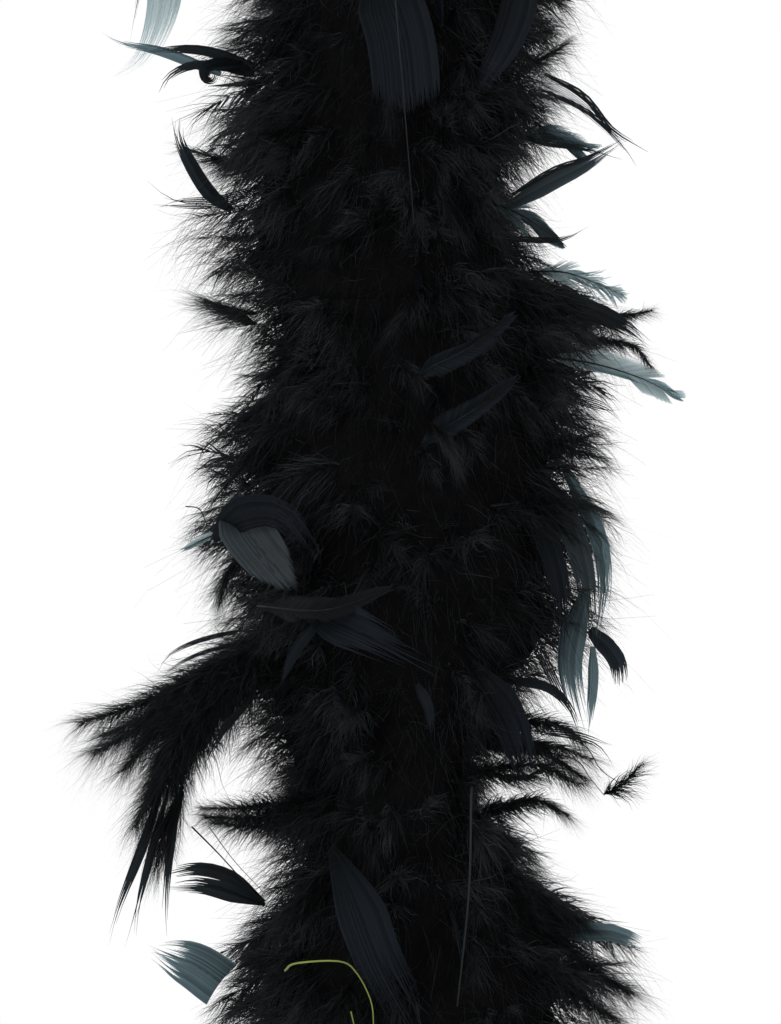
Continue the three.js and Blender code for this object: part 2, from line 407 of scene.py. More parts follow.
def solid_material(name, colour, darker, roughness, gloss, scale):
    """Cord, thread, quill or heart: one colour mottled with a darker one, finely bumped."""
    material = new_material(name)
    where = add_node(material, "TexCoord").outputs["Object"]
    noise = add_node(material, "TexNoise", {"Vector": where, "Scale": scale, "Detail": 4.0}).outputs[0]
    ramp = add_node(material, "Mix", {"A": (*darker, 1), "B": (*colour, 1), "Factor": noise},
                    data_type="RGBA")
    bump = add_node(material, "Bump", {"Strength": 0.5, "Distance": 0.4 * MM, "Height": noise})
    surface = add_node(material, "BsdfPrincipled", {
        "Roughness": roughness, "Specular IOR Level": gloss,
        "Base Color": ramp.outputs["Result"], "Normal": bump.outputs[0]})
    add_node(material, "OutputMaterial", {0: surface.outputs[0]})
    return material


DOWN = feather_material("down", root=(0.003, 0.003, 0.003), tip=(0.0085, 0.0088, 0.0098),
                        clear=0.5, clear_colour=(0.11, 0.125, 0.135), clear_root=0.2,
                        roughness=0.8, gloss=0.04, streaks=1.0, uneven=0.7)
DARK_VANE = feather_material("dark_vane", root=(0.002, 0.0025, 0.003), tip=(0.004, 0.005, 0.006),
                             clear=0.14, clear_colour=(0.08, 0.12, 0.14),
                             roughness=0.5, gloss=0.06, streaks=6.0, uneven=0.7)
SLATE_VANE = feather_material("slate_vane", root=(0.002, 0.0025, 0.003), tip=(0.004, 0.005, 0.008),
                              clear=0.16, clear_colour=(0.10, 0.15, 0.18),
                              roughness=0.6, gloss=0.05, streaks=6.0, uneven=0.8)
GREY_VANE = feather_material("grey_vane", root=(0.010, 0.014, 0.017), tip=(0.019, 0.024, 0.027),
                             clear=0.2, clear_colour=(0.14, 0.22, 0.26),
                             roughness=0.55, gloss=0.12, streaks=6.0, uneven=0.7)
CLEAR_VANE = feather_material("clear_vane", root=(0.006, 0.009, 0.011), tip=(0.012, 0.018, 0.021),
                              clear=0.6, clear_colour=(0.22, 0.33, 0.37),
                              roughness=0.5, gloss=0.2, streaks=6.0, uneven=0.8)
PALE_VANE = feather_material("pale_vane", root=(0.01, 0.014, 0.017), tip=(0.02, 0.026, 0.03),
                             clear=0.8, clear_colour=(0.70, 0.84, 0.87),
                             roughness=0.5, gloss=0.2, streaks=6.0, uneven=0.3)
HEART = solid_material("down_heart", (0.006, 0.0061, 0.0066), (0.002, 0.002, 0.0022), 1.0, 0.0, 900)
CORD = solid_material("cord", (0.012, 0.012, 0.014), (0.006, 0.006, 0.007), 0.85, 0.2, 1500)
THREAD = solid_material("thread", (0.016, 0.016, 0.019), (0.008, 0.008, 0.010), 0.7, 0.3, 2500)
QUILL = solid_material("quill", (0.007, 0.010, 0.013), (0.003, 0.004, 0.005), 0.4, 0.15, 400)
GREEN_QUILL = solid_material("undyed_quill", (0.22, 0.27, 0.05), (0.07, 0.10, 0.02), 0.4, 0.3, 150)

LOOKS = {"dark": DARK_VANE, "slate": SLATE_VANE, "grey": GREY_VANE, "clear": CLEAR_VANE,
         "pale": PALE_VANE, "quill": QUILL, "green": GREEN_QUILL}

# ---------------------------------------------------------------- feathers


def across_feather(tangents, facing, turn):
    """Directions from side to side of a feather whose face looks the way of facing, and which is
    turned about its own length by the angles turn."""
    level = unit(np.cross(tangents, facing))
    upright = unit(np.cross(level, tangents))
    return level * np.cos(turn)[..., None] + upright * np.sin(turn)[..., None]


def gather_locks(points, size, strength):
    """Draws the tips of neighbouring barbs together into pointed locks."""
    t = np.linspace(0, 1, points.shape[1])[None, :, None]
    lock = np.arange(len(points)) // size
    total = np.zeros((lock[-1] + 1, 3))
    np.add.at(total, lock, points[:, -1])
    centre = total / np.bincount(lock)[:, None]
    return points + (centre[lock] - points[:, -1])[:, None] * strength * t ** 1.6


def add_plume(strands, path, rng, barb, spacing, width, start=0.4, angle=48, droop=0.3,
              lock=0.4, shade=0.0, widest=None):
    """A downy plume: soft barbs all round a spine, leaning towards its tip by angle. Half of them
    are single hairs; the rest are locks, as wide as width where they leave the spine, and wider
    near its foot."""
    _, _, length = along(path, [0, 1])
    per_side = max(4, int(length * (1 - start) / spacing))
    n = 2 * per_side
    share = np.tile(np.linspace(0, 1, per_side), 2) + rng.normal(0, 0.5 / per_side, n)
    share = np.clip(share, 0, 1)
    roots, tangents, _ = along(path, start + (1 - start) * share)
    hand = np.repeat([1.0, -1.0], per_side)[:, None]
    side = unit(np.cross(tangents, unit(rng.normal(size=3)))) * hand
    normal = np.cross(tangents, side)
    fan = rng.normal(0, 0.8, (n, 1))
    lean = np.radians(angle) * (1 - 0.5 * share[:, None]) * rng.uniform(0.45, 1.4, (n, 1))
    outward = side * np.cos(fan) + normal * np.sin(fan)
    directions = tangents * np.cos(lean) + outward * np.sin(lean)
    size = (barb * (1 - 0.35 * share) * rng.uniform(0.5, 1.15, n))[:, None, None]
    bends = tangents * 0.1 + rng.normal(0, 0.2, (n, 3)) - np.array([0, 0, droop])
    t = np.linspace(0, 1, DOWN_POINTS)[None, :, None]
    sideways = unit(np.cross(directions, rng.normal(size=(n, 3))))
    phase = rng.uniform(0, 2 * np.pi, (n, 1, 1))
    ripple = np.sin(t * rng.uniform(4, 8, (n, 1, 1)) + phase) - np.sin(phase)
    points = (roots[:, None] + directions[:, None] * size * t + bends[:, None] * size * t ** 2
              + sideways[:, None] * ripple * size * 0.07 * t)
    points = gather_locks(points, int(rng.integers(4, 12)), lock)
    if widest is not None:
        points = held_in(points, widest)
    sides = sideways[:, None].repeat(DOWN_POINTS, axis=1)
    taper = np.array([1.0, 0.8, 0.55, 0.3, 0.05])
    thickness = np.where(rng.uniform(size=(n, 1)) < 0.5, rng.uniform(0.15, 0.3, (n, 1)),
                         rng.uniform(0.4, 1.0, (n, 1)))
    thickness = thickness * (2.4 - 2.0 * share[:, None])
    strands.strips(points, sides, width * taper * thickness, DOWN, shade)


def add_vane(strands, path, facing, width, rng, material, angle=38, spacing=1.1 * MM, blunt=0.5,
             splits=0.05, cup=0.12, start=0.12, quill=0.45 * MM, shade=0.0, narrow=1.0, twist=0.0):
    """A vane feather: barbs lie side by side in a sheet on both sides of a quill.
    facing is the way its face looks; blunt runs from 0, pointed, to 1, square-ended; narrow is
    the leading side's share of the trailing side's width; splits is how often the sheet parts."""
    _, _, length = along(path, [0, 1])
    per_side = max(6, int(length * (1 - start) / spacing))
    n = 2 * per_side
    shares = np.tile(np.linspace(start, 1, per_side), 2)
    roots, tangents, _ = along(path, shares)
    hand = np.repeat([1.0, -1.0], per_side)[:, None]
    side = across_feather(tangents, facing, twist * (shares - 0.5)) * hand
    normal = unit(np.cross(side, tangents)) * hand
    grow = np.clip((shares - start) / 0.25, 0, 1)
    rise = grow * grow * (3 - 2 * grow)
    close = np.clip((1 - shares) / (0.08 + 0.5 * (1 - blunt)), 0, 1) ** 0.5
    half = width / 2 * (0.15 + 0.85 * rise) * (0.1 + 0.9 * close)
    half = half * np.where(hand[:, 0] > 0, 1.0, narrow)
    lean = (np.radians(angle) * (1 - 0.45 * shares))[:, None]
    group = np.cumsum(rng.uniform(size=n) < splits)
    stray = rng.normal(0, 0.22, group[-1] + 1)[group][:, None]
    lift = rng.normal(0, 0.10, group[-1] + 1)[group][:, None]
    directions = tangents * np.cos(lean) + side * np.sin(lean)
    lengths = np.maximum(half / np.sin(np.radians(angle)) * rng.uniform(0.95, 1.03, n), 0.002)
    t = np.linspace(0, 1, BARB_POINTS)[None, :, None]
    size = lengths[:, None, None]
    bends = tangents * 0.18 + normal * (cup + lift) + side * stray
    points = roots[:, None] + directions[:, None] * size * t + bends[:, None] * size * t ** 2
    across = unit(np.cross(directions, normal))[:, None].repeat(BARB_POINTS, axis=1)
    pitch = length * (1 - start) / per_side
    full = pitch * np.sin(np.radians(angle)) * 1.25
    taper = np.array([1.0, 1.0, 0.95, 0.8, 0.35])
    strands.strips(points, across, full * taper * np.ones((n, 1)), material, shade)
    strands.tube(path[::2], np.linspace(quill, quill * 0.15, len(path[::2])), QUILL, sides=4)


def add_strap(strands, path, facing, width, rng, material, fray=0.3, point=0.4, shade=0.0,
              twist=0.0, ragged=0.16, cover=1.5, root=0.45, rounded=0.08, thinning=0.3,
              steps=STRAP_POINTS):
    """A strap of barbs that stick together side by side, run along a path and fray at its end.
    point is how far they draw together there, ragged how uneven their lengths are, rounded how
    much shorter the outer ones are, thinning the share of their length over which they get thin,
    cover how much of the strap's width they fill, and root the share of it that it starts with."""
    count = max(3, round(width / (0.6 * MM)))
    t = np.linspace(0, 1, steps)
    share = np.linspace(-0.5, 0.5, count)
    reach = rng.uniform(1 - ragged, 1.0, count) * (1 - rounded * (2 * share) ** 2)
    reach[count // 2] = 1.0
    at = t[None] * reach[:, None]
    centre, tangents, _ = along(path, at.ravel())
    centre = centre.reshape(count, steps, 3)
    tangents = tangents.reshape(count, steps, 3)
    side = across_feather(tangents, facing, twist * (at - 0.5))
    normal = np.cross(side, tangents)
    share = share[:, None]
    profile = np.clip(root + 2.2 * at, 0, 1) * (1 - point * at ** 3)
    loose = np.clip((at - 0.65) / 0.35, 0, 1) ** 2
    offset = share * width * profile + rng.normal(0, fray * width * 0.5, (count, 1)) * loose
    lift = share ** 2 * width * 0.5 + rng.normal(0, fray * width * 0.3, (count, 1)) * loose
    points = centre + side * offset[..., None] + normal * lift[..., None]
    taper = np.clip((1 - t) / thinning, 0.12, 1)
    widths = width / count * cover * taper[None] * profile
    strands.strips(points, side, widths, material, shade)


def down_of_span(span):
    """The fluffy mass: plumes that leave the cord in all directions and end near the outline.
    Those that only the back shows are coarser."""
    rng = span.rng
    front, back = Strands(), Strands()
    count = int((span.top - span.foot) / MM * PLUMES_PER_MM * (1.0 if span.seen else UNSEEN_SHARE))
    for _ in range(count):
        z = rng.uniform(span.foot, span.top)
        angle = rng.uniform(0, 2 * np.pi)
        if span.seen:
            angle -= EDGE_CROWDING * np.sin(2 * angle)
        fine = span.seen and math.sin(angle) < 0.5
        drop = rng.normal(-5, 16) * MM
        swing = rng.normal(0, 0.35)
        tip_z = np.clip(z + drop, FEATHERS_FOOT, FEATHERS_TOP)
        reach = outline_reach(tip_z, angle + swing) * (1.0 - 0.32 * rng.uniform() ** 1.3)
        path = bezier(around(CORD_RADIUS, angle, z),
                      around(reach * 0.55, angle, z + drop * 0.2 + 7 * MM),
                      around(reach, angle + swing, tip_z), 10)
        add_plume(front if math.sin(angle) < 0 else back, path, rng, rng.uniform(12, 23) * MM,
                  (0.48 if fine else 1.2) * MM, (0.55 if fine else 1.6) * MM, start=0.58,
                  lock=rng.uniform(0.1, 0.8), shade=rng.normal(0, 0.15), widest=DOWN_REACH)
    for strands, kind in ((front, "front_down"), (back, "back_down")):
        piece = span.attach(strands.build(span.name(kind)), "down")
        span.stands_for(piece, "feather_ruff")


def heart_of_span(span):
    """The heart of the ruff, too dense to see into: a lumpy closed sleeve round the cord."""
    rings, sides = 24, 44
    z = np.linspace(span.top, span.foot, rings)[:, None]
    angle = np.linspace(0, 2 * np.pi, sides, endpoint=False)[None]
    radius = np.minimum(outline_reach(z, angle) * span.heart_share, HEART_REACH)
    bumps = 0.05 * span.rng.normal(size=radius.shape)
    bumps[[0, -1]] = 0      # so that the sleeves of two spans meet
    radius = radius * (1 + bumps)
    skin = around(radius, angle, z)
    bore = around(np.full_like(radius, BINDING_RADIUS * 1.3), angle, z)[::-1]
    strands = Strands()
    strands.grids(np.concatenate([bore[-1:], skin, bore])[None, :, ::-1], HEART, wraps=True)
    span.attach(strands.build(span.name("down_heart")), "down")


def vanes_of_span(span):
    """Vane feathers and straps through the down. Where the camera looks, only those that reach
    the surface are scattered here; elsewhere some stand well out of it."""
    rng = span.rng
    strands = Strands()
    length = (span.top - span.foot) / MM
    for i in range(int(length * VANES_PER_MM)):
        z = rng.uniform(span.foot, span.top)
        angle = rng.uniform(0, 2 * np.pi)
        if span.seen and math.sin(angle) < 0.8 and abs(math.cos(angle)) > 0.5:
            continue    # the camera sees this edge, where every feather is placed one by one
        stands_out = i % 2 == 0 and not (span.seen and math.sin(angle) < 0.8)
        drop = rng.normal(-10, 20) * MM
        tip_z = np.clip(z + drop, FEATHERS_FOOT, FEATHERS_TOP)
        share = rng.uniform(1.1, 1.32) if stands_out else rng.uniform(0.7, 0.98)
        reach = np.minimum(outline_reach(tip_z, angle) * share, VANE_REACH)
        swing = rng.normal(0, 0.15 if span.seen else 0.4)
        path = bezier(around(BINDING_RADIUS, angle, z),
                      around(reach * 0.6, angle, z + drop * 0.1 + 12 * MM),
                      around(reach, angle + swing, tip_z), 20)
        facing = unit(around(1.0, angle + rng.normal(0, 0.9), rng.normal(0, 0.8)))
        look = LOOKS[rng.choice(["dark", "dark", "slate", "clear" if stands_out else "dark"])]
        shade = rng.normal(0, 0.15)
        if rng.uniform() < STRAP_SHARE:
            add_strap(strands, path, facing, rng.uniform(2, 6) * MM, rng, look,
                      fray=rng.uniform(0.2, 0.8), twist=rng.normal(0, 1.5), shade=shade)
        else:
            add_vane(strands, path, facing, rng.uniform(9, 20) * MM, rng, look,
                     blunt=rng.uniform(0.1, 0.9), splits=rng.uniform(0.03, 0.12), start=0.35,
                     cup=rng.normal(0, 0.15), twist=rng.normal(0, 0.8), shade=shade)
    span.attach(strands.build(span.name("vanes")), "vane")


def loose_barbs_of_span(span):
    """Single barbs from the heart outwards. They fill the down between the plumes and soften its
    edge: the outer they stand, the finer they are, and a few are long."""
    rng = span.rng
    n = int((span.top - span.foot) / MM * (LOOSE_PER_MM if span.seen else UNSEEN_LOOSE_PER_MM))
    z = rng.uniform(span.foot, span.top, n)
    angle = rng.uniform(0, 2 * np.pi, n)
    if span.seen:
        angle = angle - LOOSE_CROWDING * np.sin(2 * angle)
    outer = rng.uniform(0, 1, n) ** 1.6
    share = span.heart_share * 0.96 + (0.95 - span.heart_share) * outer
    roots = around(outline_reach(z, angle) * share, angle, z)
    outward = unit(around(1.0, angle + rng.normal(0, 0.4, n), rng.normal(-0.5, 0.4, n)))
    lengths = np.where(rng.uniform(size=n) < 0.01, rng.uniform(18, 28, n), rng.uniform(6, 17, n))
    size = lengths[:, None, None] * MM
    t = np.linspace(0, 1, DOWN_POINTS)[None, :, None]
    bends = rng.normal(0, 0.3, (n, 3)) - np.array([0, 0, 0.4])
    points = roots[:, None] + outward[:, None] * size * t + bends[:, None] * size * t ** 2
    points[..., 2] = np.clip(points[..., 2], FEATHERS_FOOT, FEATHERS_TOP)
    points = held_in(points, DOWN_REACH)
    sides = unit(np.cross(outward, rng.normal(size=(n, 3))))[:, None].repeat(DOWN_POINTS, axis=1)
    coarseness = 1.0 if span.seen else 2.5
    width = (0.4 - 0.3 * outer[:, None]) * coarseness * MM
    widths = width * np.linspace(1, 0.2, DOWN_POINTS)
    strands = Strands()
    # Painted shade: every loose barb's colour is lowered by a shade offset near -0.35, so that barbs inside
    # the down look shaded although the front light reaches them.
    strands.strips(points, sides, widths, DOWN, rng.normal(-0.35, 0.15, n))
    span.attach(strands.build(span.name("loose_barbs")), "down")


# ---------------------------------------------------------------- feathers of the seen stretch

FRONT = (0, -1, 0)


def placed(points, steps=24):
    """A smooth path through points given as (x, depth, height above the middle), mm."""
    return smooth_path(np.array(points, float) * MM + (0, 0, MIDDLE), steps)


# Single feathers that stand out: name, look, width and path in mm, and what else differs.
SEEN_VANES = [
    ("right_vane_a", "clear", 11, [(28, -10, 112), (42, -14, 106), (56, -16, 96)],
     dict(blunt=0.0, start=0.1)),
    ("right_fan_a", "pale", 12, [(40, -2, 86), (58, -4, 86), (78, -6, 78)],
     dict(blunt=0.3, splits=0.4, start=0.1, narrow=0.7)),
    ("right_fan_b", "clear", 14, [(36, 0, 132), (50, -4, 136), (63, -6, 130)],
     dict(blunt=0.7, splits=0.2, start=0.1)),
    ("broad_right_vane", "pale", 11, [(50, -8, 56), (68, -12, 53), (84, -14, 48), (98, -14, 41)],
     dict(blunt=0.4, start=0.0)),
    ("front_leaf_a", "slate", 9, [(2, -50, 46), (10, -72, 51), (22, -78, 57), (37, -72, 68)],
     dict(blunt=0.0, start=0.1)),
    ("front_leaf_b", "slate", 9, [(4, -50, 22), (12, -72, 28), (26, -80, 37), (38, -72, 46)],
     dict(blunt=0.0, start=0.1)),
    ("pale_tip", "pale", 4, [(-62, -20, -7), (-70, -24, -9), (-78, -26, -13)],
     dict(blunt=0.6, start=0.1)),
    ("front_leaf_c", "dark", 8, [(-52, -54, -33), (-28, -78, -34), (-6, -74, -27)],
     dict(blunt=0.1, start=0.0)),
]

SEEN_STRAPS = [
    ("top_left_sheet", "pale", 15,
     [(-46, 4, 204), (-68, 2, 212), (-84, 0, 202), (-87, -4, 180), (-94, -6, 163), (-107, -8, 154)],
     dict(point=0.95, fray=0.05, ragged=0.2, root=0.1, steps=20)),
    ("top_left_edge", "dark", 1.6,
     [(-50, 0, 208), (-76, 0, 214), (-92, -2, 202), (-96, -4, 184), (-99, -6, 168)],
     dict(point=0.8, steps=20)),
    ("left_strap_a", "dark", 3.0, [(-54, -10, 160), (-72, -14, 165), (-87, -16, 165), (-95, -16, 163)],
     dict(point=0.8)),
    ("left_strap_b", "clear", 3.0, [(-66, -8, 157), (-87, -8, 165), (-101, -8, 168), (-109, -8, 172)],
     dict(point=0.9)),
    ("left_strap_c", "dark", 2.4, [(-58, -12, 158), (-74, -14, 160), (-84, -14, 156), (-88, -14, 150)],
     dict(fray=0.6, point=0.2)),
    ("left_strap_d", "dark", 4.0, [(-54, -10, 157), (-64, -12, 160), (-74, -14, 162)],
     dict(fray=0.6, point=0.6)),
    ("left_curl", "dark", 3.2,
     [(-58, -14, 160), (-66, -20, 160), (-71, -24, 158), (-71, -24, 154.5),
      (-68.5, -22, 154), (-68, -20, 156.5), (-70, -20, 157)],
     dict(point=0.2, fray=0.05, steps=36, twist=1.0, thinning=0.3, cover=2.0)),
    ("left_sickle", "slate", 4.6,
     [(-62, -12, 108), (-70, -16, 114), (-77, -18, 125), (-81, -18, 134), (-81, -18, 141)],
     dict(point=0.5, fray=0.4)),
    ("left_ragged_vane", "dark", 4, [(-50, -20, 116), (-64, -22, 111), (-76, -22, 110), (-92, -22, 111)],
     dict(fray=2.0, point=0.3, cover=0.9)),
    ("right_strip_a", "dark", 1.6, [(50, -10, 157), (64, -12, 149), (74, -12, 137), (87, -12, 129)],
     dict(fray=0.3, point=0.2)),
    ("right_strip_b", "slate", 1.2, [(48, -8, 152), (66, -10, 143), (78, -12, 131), (83, -12, 124)],
     dict(fray=0.3, point=0.2)),
    ("right_strip_c", "dark", 4.5, [(44, -8, 156), (58, -10, 150), (72, -12, 138), (81, -12, 127)],
     dict(fray=0.2, point=0.9, cover=0.5)),
    ("right_curl_line", "dark", 1.6, [(41, -10, 135), (50, -14, 132), (64, -14, 130), (78, -12, 126)],
     dict(point=0.7)),
    ("right_strap_vane", "grey", 5.4, [(36, -16, 109), (53, -20, 118), (65, -20, 124), (79, -18, 133)],
     dict(point=0.8, fray=0.3, twist=0.8)),
    ("right_strap_edge", "dark", 1.4, [(38, -20, 113), (53, -24, 122), (65, -24, 126), (78, -22, 133)],
     dict(point=0.4)),
    ("right_vane_hair", "dark", 1.6, [(34, -16, 98), (50, -18, 97), (58, -18, 98), (66, -18, 102)],
     dict(point=0.9, fray=0.5)),
    ("right_strap_b", "dark", 7, [(48, -16, 77), (68, -22, 71), (80, -22, 65), (88, -20, 58)],
     dict(point=0.7, fray=0.5)),
    ("right_thready", "dark", 3.4, [(52, -14, 43), (66, -18, 39), (78, -18, 35)],
     dict(fray=1.4, point=0.0, cover=0.8)),
    ("front_blade", "slate", 23, [(-12, -46, 196), (-2, -72, 166), (1, -76, 138)],
     dict(point=0.0, fray=0.02, ragged=0.04, cover=1.3, root=0.1, thinning=0.1)),
    ("teal_vane", "slate", 12, [(43, -46, 190), (36, -58, 166), (24, -64, 145)],
     dict(point=0.8, fray=0.1)),
    ("low_front_vane", "slate", 17,
     [(-26, -44, -118), (-16, -72, -138), (-8, -80, -158), (8, -76, -188)],
     dict(point=0.2, fray=0.3, ragged=0.3, cover=1.3, root=0.1)),
    ("blunt_vane", "grey", 18, [(-60, -26, 6), (-57, -52, -4), (-49, -72, -15), (-38, -76, -27)],
     dict(point=0.2, fray=0.02, ragged=0.04, cover=1.8, root=0.05, rounded=0.18, thinning=0.1)),
    ("left_dark_vane", "slate", 12, [(-68, -34, -10), (-58, -58, -1), (-43, -70, -1), (-29, -70, -18)],
     dict(point=0.6, fray=0.1, root=0.1)),
    ("ragged_vane", "slate", 16, [(-38, -44, -30), (-26, -70, -37), (-10, -82, -44), (13, -78, -57)],
     dict(point=0.5, fray=0.3, ragged=0.35, cover=1.8, root=0.0, rounded=0.2)),
    ("teal_streak", "slate", 3, [(4, -70, -60), (8, -76, -68), (9, -74, -78)], dict(point=0.6)),
    ("curved_blade", "slate", 3.2, [(-30, -66, -38), (-38, -72, -48), (-45, -68, -63)],
     dict(point=0.9, fray=0.1)),
    ("right_hanging_lock", "slate", 8, [(42, -10, 12), (54, -34, -22), (57, -32, -54)],
     dict(point=0.8, fray=0.6, cover=1.3)),
    ("right_hanging_vane", "grey", 8, [(46, 0, 20), (60, -22, -8), (65, -26, -30), (65, -26, -50)],
     dict(point=0.5, fray=0.6, root=0.1)),
    ("right_hanging_edge", "clear", 6, [(54, 4, 22), (68, -16, -6), (71, -22, -26), (67, -26, -46)],
     dict(point=0.6, fray=0.5, root=0.1)),
    ("right_square_strap", "slate", 5.6, [(66, -16, -42), (75, -20, -52), (77, -20, -62)],
     dict(point=0.0, fray=0.2, ragged=0.05)),
    ("right_low_vane", "clear", 9, [(66, -14, -24), (60, -18, -44), (59, -20, -58), (64, -20, -79)],
     dict(point=0.6, fray=0.2, root=0.2, ragged=0.3)),
    ("right_low_edge", "clear", 3, [(67, -18, -48), (67, -20, -62), (65, -20, -80)], dict(point=0.6)),
    ("right_comma", "dark", 2.6, [(36, -20, -60), (50, -27, -62), (58, -28, -69), (62, -26, -78)],
     dict(point=0.4, fray=0.3)),
    ("broad_low_vane", "slate", 13, [(20, -34, -50), (36, -42, -72), (44, -38, -98)],
     dict(point=0.6, fray=0.25, ragged=0.3, cover=1.9, root=0.1)),
    ("right_junction", "dark", 2.4, [(46, -24, -78), (58, -26, -79), (68, -24, -82), (76, -24, -88)],
     dict(point=0.0, fray=2.4, cover=0.8)),
    ("right_white_gap_lock", "dark", 3, [(44, -26, -40), (50, -28, -54), (60, -26, -74)],
     dict(point=0.5, fray=0.8, cover=1.0)),
    ("glossy_arc_a", "dark", 1.2, [(-58, -20, -42), (-74, -24, -46), (-84, -24, -51), (-88, -22, -57)],
     dict(point=0.5)),
    ("glossy_arc_b", "dark", 1.0, [(-56, -22, -46), (-72, -26, -50), (-82, -26, -55), (-87, -24, -60)],
     dict(point=0.5)),
    ("hanging_lock_a", "dark", 3.2,
     [(-84, -16, -90), (-93, -28, -118), (-101, -28, -138), (-107, -26, -154)],
     dict(point=0.9, fray=0.6, root=0.0)),
    ("hanging_lock_b", "dark", 2.4,
     [(-82, -16, -90), (-90, -26, -120), (-95, -26, -140), (-98, -24, -155)],
     dict(point=0.8, fray=1.4, root=0.0)),
    ("hanging_lock_c", "dark", 2.4,
     [(-78, -16, -90), (-83, -26, -116), (-85, -26, -136), (-86, -24, -151)],
     dict(point=0.6, fray=1.8, root=0.0)),
    ("left_dark_edge", "dark", 1.8, [(-54, -30, -66), (-65, -34, -78), (-72, -34, -92)],
     dict(point=0.6)),
    ("left_low_vane", "dark", 4, [(-50, -20, -139), (-62, -24, -130), (-74, -24, -127), (-86, -24, -129)],
     dict(point=0.0, fray=0.2, cover=1.9, root=0.2)),
    ("left_low_middle", "dark", 2,
     [(-50, -21, -140), (-62, -25, -134), (-74, -25, -131), (-82, -24, -132)],
     dict(point=0.3, fray=0.2, cover=1.9)),
    ("left_low_strap", "dark", 3.4, [(-50, -22, -140), (-61, -26, -137), (-72, -26, -134), (-85, -24, -134)],
     dict(point=0.2, fray=0.2, root=0.2)),
    ("left_corner_vane", "clear", 17,
     [(-66, -20, -168), (-74, -24, -162), (-83, -24, -158), (-92, -24, -155)],
     dict(point=0.97, fray=0.15, root=1.0, ragged=0.4)),
    ("right_corner_vane", "clear", 6.5,
     [(44, 4, -148), (62, -14, -150), (74, -20, -150), (84, -20, -154)],
     dict(point=0.35, fray=0.03, root=0.2, ragged=0.03, rounded=0.0, thinning=0.05)),
    ("left_corner_stem", "dark", 6, [(-44, -16, -158), (-54, -20, -160), (-64, -22, -166)],
     dict(point=0.2, fray=1.2, root=0.6, ragged=0.4)),
]

